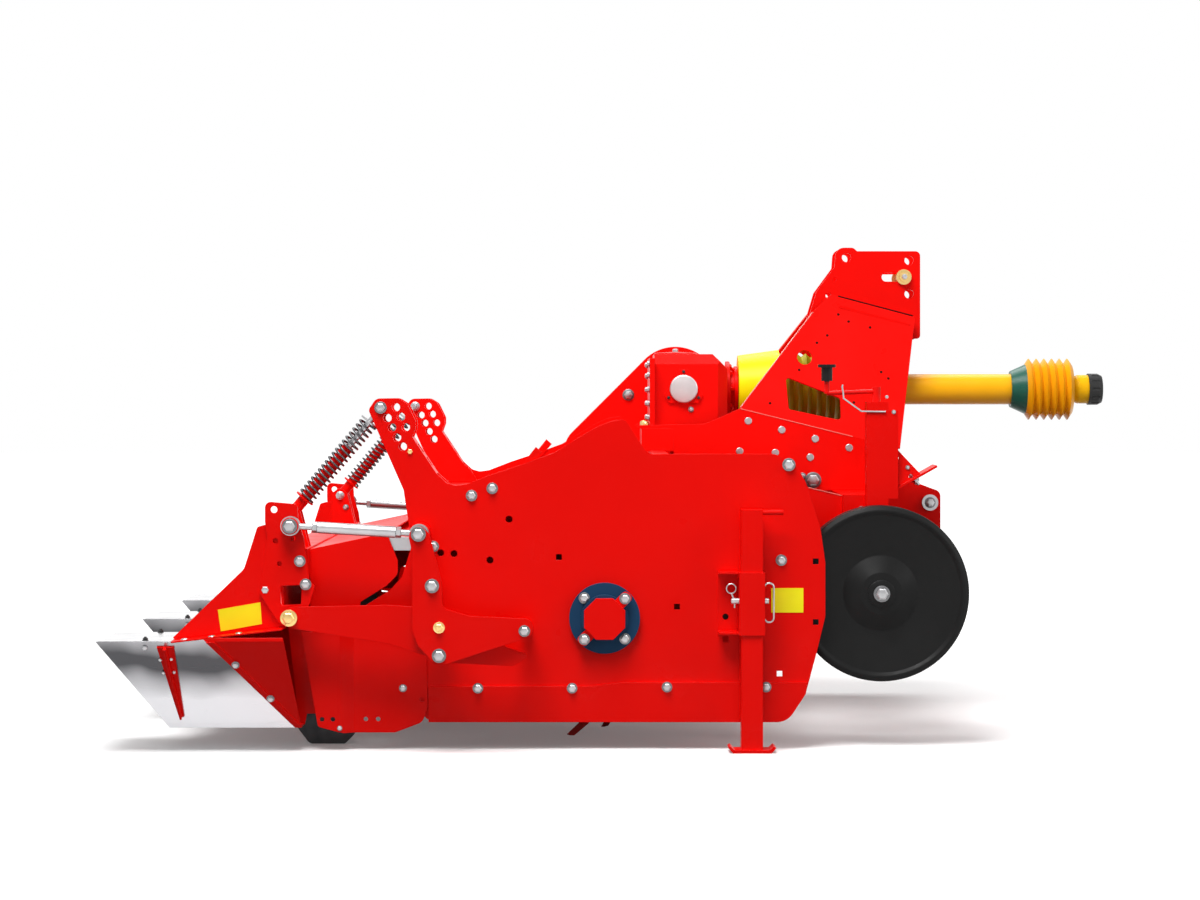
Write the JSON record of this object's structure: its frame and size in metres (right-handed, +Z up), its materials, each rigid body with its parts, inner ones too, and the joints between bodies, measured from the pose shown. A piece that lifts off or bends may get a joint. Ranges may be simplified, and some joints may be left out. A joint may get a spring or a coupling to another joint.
{
  "type": "rotary potato ridging tiller",
  "caption": "Power-driven ridging tiller with rotor, sprung ridging hood, depth wheels, stand legs, headstock and guarded drive shaft.",
  "frame": {"origin": "on the floor, under the middle of the bounding box", "axes": "+X to the tractor, +Y to the machine's left, +Z up"},
  "size_m": [2.734, 1.8222, 1.349],
  "materials": {
    "red_paint": "smooth gloss powder coat",
    "dark_red_paint": "satin paint on forged tines",
    "blue_paint": "satin paint on a cast housing",
    "brass_plate": "yellow passivated zinc",
    "zinc_plate": "bright zinc plate",
    "spring_steel": "bright zinc plate on wound wire",
    "stainless": "brushed stainless sheet",
    "dark_steel": "bare dark steel",
    "black_steel": "satin black",
    "yellow_paint": "satin yellow",
    "yellow_plastic": "moulded, slightly shiny",
    "orange_plastic": "moulded, slightly shiny",
    "green_plastic": "moulded",
    "black_plastic": "moulded, fine grain"
  },
  "bodies": {
    "chassis": {"side_plate_right": "red_paint", "side_plate_left": "red_paint", "arm_cheeks": "red_paint", "rotor_cover": "red_paint", "cross_beams": "red_paint", "wear_strips": "red_paint", "extension_plates": "red_paint", "folded_box": "zinc_plate", "lever_plates": "red_paint", "bearing": "blue_paint", "bearing_cap": "red_paint", "drive_case": "red_paint", "drive_tube": "red_paint", "gearbox": "red_paint", "gearbox_cover": "red_paint", "tower": "red_paint", "mast": "red_paint", "top_link_pin": "brass_plate", "hitch_plates": "red_paint", "hitch_pins": "zinc_plate", "wheel_columns": "red_paint", "wheel_cranks": "black_steel", "column_brackets": "red_paint", "stand_sleeves": "red_paint", "pto_cone": "yellow_plastic", "pto_guard": "yellow_plastic", "pto_collar": "green_plastic", "pto_bellows": "orange_plastic"},
    "rotor": {"rotor": "dark_red_paint"},
    "pto_shaft": {"pto_shaft": "zinc_plate", "pto_yoke": "yellow_paint", "pto_end": "black_plastic"},
    "wheel_leg_right": {"wheel_leg_right": "red_paint"},
    "wheel_leg_left": {"wheel_leg_left": "red_paint"},
    "depth_wheel_right": {"depth_wheel_right": "black_steel"},
    "depth_wheel_left": {"depth_wheel_left": "black_steel"},
    "stand_leg_right": {"stand_leg_right": "red_paint"},
    "stand_leg_left": {"stand_leg_left": "red_paint"},
    "lower_links": {"lower_links": "red_paint"},
    "hood": {"hood_plates": "red_paint", "hood_wings": "red_paint", "hood_frame": "red_paint", "hood_cover": "red_paint", "hood_noses": "red_paint", "former_right": "stainless", "former_left": "stainless", "former_centre": "stainless", "hood_straps": "red_paint", "hood_skids": "dark_steel"},
    "tie_rods": {"tie_rods": "zinc_plate"},
    "strut_tubes": {"strut_tubes": "red_paint"},
    "strut_rods": {"strut_rods": "zinc_plate", "springs": "spring_steel"}
  },
  "joints": [
    {"name": "rotor_spin", "type": "hinge", "parent": "chassis", "child": "rotor", "pos_m": [-0.062, 0, 0.344], "axis": [0, 1, 0], "continuous": true},
    {"name": "pto_spin", "type": "hinge", "parent": "chassis", "child": "pto_shaft", "pos_m": [-0.062, 0, 0.945], "axis": [1, 0, 0], "continuous": true},
    {"name": "wheel_height_right", "type": "slide", "parent": "chassis", "child": "wheel_leg_right", "axis": [0, 0, 1], "range_m": [-0.12, 0.05]},
    {"name": "wheel_spin_right", "type": "hinge", "parent": "wheel_leg_right", "child": "depth_wheel_right", "pos_m": [0.666, -0.67, 0.405], "axis": [0, 1, 0], "continuous": true},
    {"name": "stand_lift_right", "type": "slide", "parent": "chassis", "child": "stand_leg_right", "axis": [0, 0, 1], "range_m": [0, 0.25]},
    {"name": "wheel_height_left", "type": "slide", "parent": "chassis", "child": "wheel_leg_left", "axis": [0, 0, 1], "range_m": [-0.12, 0.05]},
    {"name": "wheel_spin_left", "type": "hinge", "parent": "wheel_leg_left", "child": "depth_wheel_left", "pos_m": [0.666, 0.67, 0.405], "axis": [0, 1, 0], "continuous": true},
    {"name": "stand_lift_left", "type": "slide", "parent": "chassis", "child": "stand_leg_left", "axis": [0, 0, 1], "range_m": [0, 0.25]},
    {"name": "hood_lift", "type": "hinge", "parent": "chassis", "child": "lower_links", "pos_m": [-0.487, 0, 0.33], "axis": [0, 1, 0], "range_deg": [0, 12], "stiffness_Nm_per_rad": 2000, "springref_deg": -45.84},
    {"name": "hood_pivot", "type": "hinge", "parent": "lower_links", "child": "hood", "pos_m": [-0.87432, 0, 0.35301], "axis": [0, 1, 0], "range_deg": [-12, 0]},
    {"name": "tie_rod_pivot", "type": "hinge", "parent": "chassis", "child": "tie_rods", "pos_m": [-0.54, 0, 0.57], "axis": [0, 1, 0], "range_deg": [0, 14.1]},
    {"name": "strut_rod_pivot", "type": "hinge", "parent": "chassis", "child": "strut_rods", "pos_m": [-0.648, 0, 0.894], "axis": [0, 1, 0], "range_deg": [0, 8.2], "deforming": ["springs"]},
    {"name": "strut_tube_pivot", "type": "hinge", "parent": "hood", "child": "strut_tubes", "pos_m": [-0.883, 0, 0.617], "axis": [0, 1, 0], "range_deg": [0, 8.2]}
  ],
  "couplings": [
    {"joint": "pto_spin", "follows": "rotor_spin", "ratio": 3},
    {"joint": "hood_pivot", "follows": "hood_lift", "ratio": -0.975},
    {"joint": "tie_rod_pivot", "follows": "hood_lift", "ratio": 1.171},
    {"joint": "strut_rod_pivot", "follows": "hood_lift", "ratio": 0.653},
    {"joint": "strut_tube_pivot", "follows": "hood_lift", "ratio": 0.628}
  ]
}
